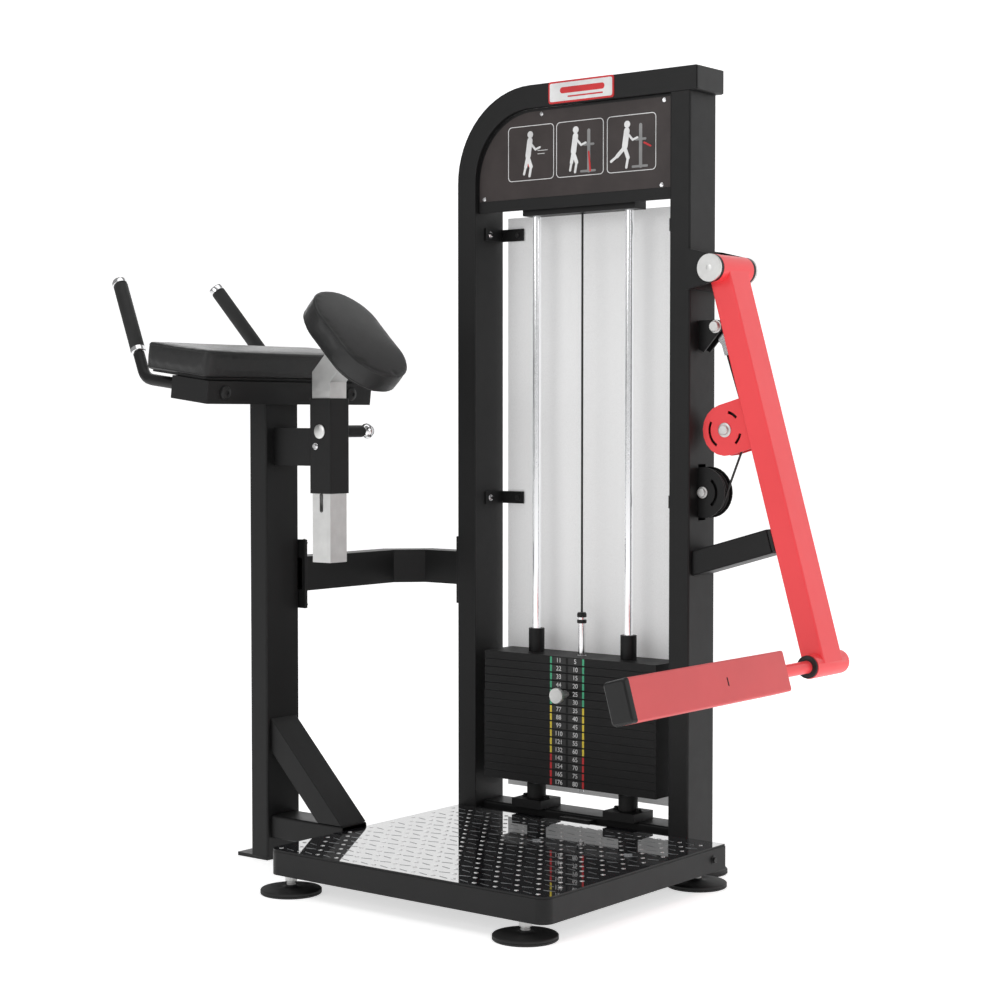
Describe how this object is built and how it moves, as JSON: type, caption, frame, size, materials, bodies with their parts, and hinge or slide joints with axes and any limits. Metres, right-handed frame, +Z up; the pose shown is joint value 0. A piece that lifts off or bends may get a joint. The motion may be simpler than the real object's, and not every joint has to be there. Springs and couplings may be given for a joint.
{
  "type": "standing glute isolator machine",
  "caption": "Standing hip-extension gym machine: red swing arm with foot pad, cable-driven weight stack in a tower, forearm and chest pads on a post, tread-plate platform.",
  "frame": {"origin": "centre of the footprint, on the floor", "axes": "+Z up, -Y towards the side where the user steps on, +X from the elbow post towards the swing arm"},
  "size_m": [1.5044, 0.818, 1.674],
  "materials": {
    "black_steel": "satin black powder coat",
    "red_steel": "glossy red powder coat",
    "red_pad": "smooth red moulded cover over firm foam",
    "chrome": "bright chrome plate",
    "cast_black": "matt black painted weight plates",
    "vinyl": "fine-grained black vinyl over foam",
    "rubber": "matt black rubber",
    "plastic": "black nylon",
    "shroud": "pale grey speckled sheet",
    "cable": "black plastic-coated steel cable",
    "tread": "glossy black raised-pattern tread plate"
  },
  "bodies": {
    "frame": {"tower_bent_tube": "black_steel", "tower_right_upright": "black_steel", "beam_end_cap": "plastic", "base_beam": "black_steel", "header_panel": "black_steel", "rod_holder": "black_steel", "rear_shroud": "shroud", "guide_rod_left": "chrome", "guide_rod_right": "chrome", "bumper_left": "rubber", "bumper_right": "rubber", "resting_plates": "cast_black", "stack_cable": "cable", "header_cable": "cable", "pulley_carrier": "black_steel", "lower_pulley_housing": "black_steel", "cable_anchor": "black_steel", "pivot_bracket": "black_steel", "pivot_axle": "chrome", "stop_tube": "black_steel", "stop_bumper": "rubber", "elbow_post": "black_steel", "post_brace": "black_steel", "post_base_beam": "black_steel", "cross_tube": "black_steel", "adjuster_sleeve": "black_steel", "pad_tray": "black_steel", "forearm_pad": "vinyl", "handle_left": "black_steel", "handle_right": "black_steel", "platform_frame": "black_steel", "tread_plate": "tread", "foot_front_right": "rubber", "foot_front_left": "rubber", "foot_rear_right": "rubber", "foot_rear_left": "rubber", "foot_tower_right": "rubber", "foot_tower_left": "rubber"},
    "swing_arm_body": {"swing_arm": "red_steel", "arm_pulley_housing": "red_steel"},
    "foot_pad_body": {"foot_pad": "red_pad", "foot_pad_shaft": "red_steel"},
    "lifted_stack": {"head_plate": "cast_black", "weight_plate_02": "cast_black", "weight_plate_03": "cast_black", "weight_plate_04": "cast_black", "weight_plate_05": "cast_black", "selector_stem": "chrome"},
    "selector_pin_body": {"selector_pin": "chrome"},
    "chest_pad_body": {"chest_pad_mast": "chrome", "chest_pad": "vinyl"},
    "pull_pin_body": {"pull_pin": "chrome"},
    "header_pulley_centre_body": {"header_pulley_centre": "plastic"},
    "header_pulley_right_body": {"header_pulley_right": "plastic"},
    "lower_pulley_body": {"lower_pulley": "plastic"},
    "arm_pulley_body": {"arm_pulley": "plastic"},
    "cable_end_body": {"cable_end_fitting": "chrome"},
    "upper_run_body": {"arm_cable_upper": "cable"},
    "lower_run_near_body": {"arm_cable_lower_near": "cable"},
    "lower_run_far_body": {"arm_cable_lower_far": "cable"}
  },
  "joints": [
    {"name": "arm_swing", "type": "hinge", "parent": "frame", "child": "swing_arm_body", "pos_m": [0.49073, 0.305, 1.259], "axis": [0, -1, 0], "range_deg": [0, 60]},
    {"name": "foot_pad_swivel", "type": "hinge", "parent": "swing_arm_body", "child": "foot_pad_body", "pos_m": [0.71813, 0.255, 0.46596], "axis": [0, -1, 0], "range_deg": [-35, 35]},
    {"name": "stack_lift", "type": "slide", "parent": "frame", "child": "lifted_stack", "axis": [0, 0, 1], "range_m": [0, 0.4615], "deforming": ["stack_cable"]},
    {"name": "selector_pin_pull", "type": "slide", "parent": "lifted_stack", "child": "selector_pin_body", "axis": [0, -1, 0], "range_m": [0, 0.1]},
    {"name": "chest_pad_height", "type": "slide", "parent": "frame", "child": "chest_pad_body", "axis": [0, 0, 1], "range_m": [-0.03, 0.12]},
    {"name": "pull_pin_pull", "type": "slide", "parent": "frame", "child": "pull_pin_body", "axis": [0, 1, 0], "range_m": [0, 0.012], "stiffness_N_per_m": 800, "springref_m": -0.005},
    {"name": "header_pulley_centre_spin", "type": "hinge", "parent": "frame", "child": "header_pulley_centre_body", "pos_m": [0.16923, 0.305, 1.554], "axis": [0, 1, 0], "range_deg": [-2, 590]},
    {"name": "header_pulley_right_spin", "type": "hinge", "parent": "frame", "child": "header_pulley_right_body", "pos_m": [0.35273, 0.305, 1.554], "axis": [0, 1, 0], "range_deg": [-2, 590]},
    {"name": "lower_pulley_spin", "type": "hinge", "parent": "frame", "child": "lower_pulley_body", "pos_m": [0.44273, 0.305, 0.802], "axis": [0, -1, 0], "range_deg": [-2, 590]},
    {"name": "arm_pulley_spin", "type": "hinge", "parent": "swing_arm_body", "child": "arm_pulley_body", "pos_m": [0.49574, 0.305, 0.93097], "axis": [0, -1, 0], "range_deg": [-2, 140]},
    {"name": "cable_end_swing", "type": "hinge", "parent": "frame", "child": "cable_end_body", "pos_m": [0.47173, 0.305, 1.143], "axis": [0, -1, 0], "range_deg": [0, 71.71]},
    {"name": "upper_run_feed", "type": "slide", "parent": "cable_end_body", "child": "upper_run_body", "axis": [0.3195, 0, -0.9476], "range_m": [0, 0.097], "deforming": ["arm_cable_upper"]},
    {"name": "lower_run_swing", "type": "hinge", "parent": "frame", "child": "lower_run_near_body", "pos_m": [0.44273, 0.305, 0.802], "axis": [0, 1, 0], "range_deg": [0, 26.13], "deforming": ["arm_cable_lower_near"]},
    {"name": "lower_run_feed", "type": "slide", "parent": "lower_run_near_body", "child": "lower_run_far_body", "axis": [0.3802, 0, 0.9249], "range_m": [0, 0.3085], "deforming": ["arm_cable_lower_far"]}
  ],
  "couplings": [
    {"joint": "stack_lift", "follows": "arm_swing", "m_per_rad": 0.44043},
    {"joint": "header_pulley_centre_spin", "follows": "arm_swing", "ratio": 9.7873},
    {"joint": "header_pulley_right_spin", "follows": "arm_swing", "ratio": 9.7873},
    {"joint": "lower_pulley_spin", "follows": "arm_swing", "ratio": 9.7873},
    {"joint": "arm_pulley_spin", "follows": "arm_swing", "ratio": 2.2479},
    {"joint": "cable_end_swing", "follows": "arm_swing", "ratio": 1.1936},
    {"joint": "upper_run_feed", "follows": "arm_swing", "m_per_rad": 0.09245},
    {"joint": "lower_run_swing", "follows": "arm_swing", "ratio": 0.43385},
    {"joint": "lower_run_feed", "follows": "arm_swing", "m_per_rad": 0.29427}
  ]
}
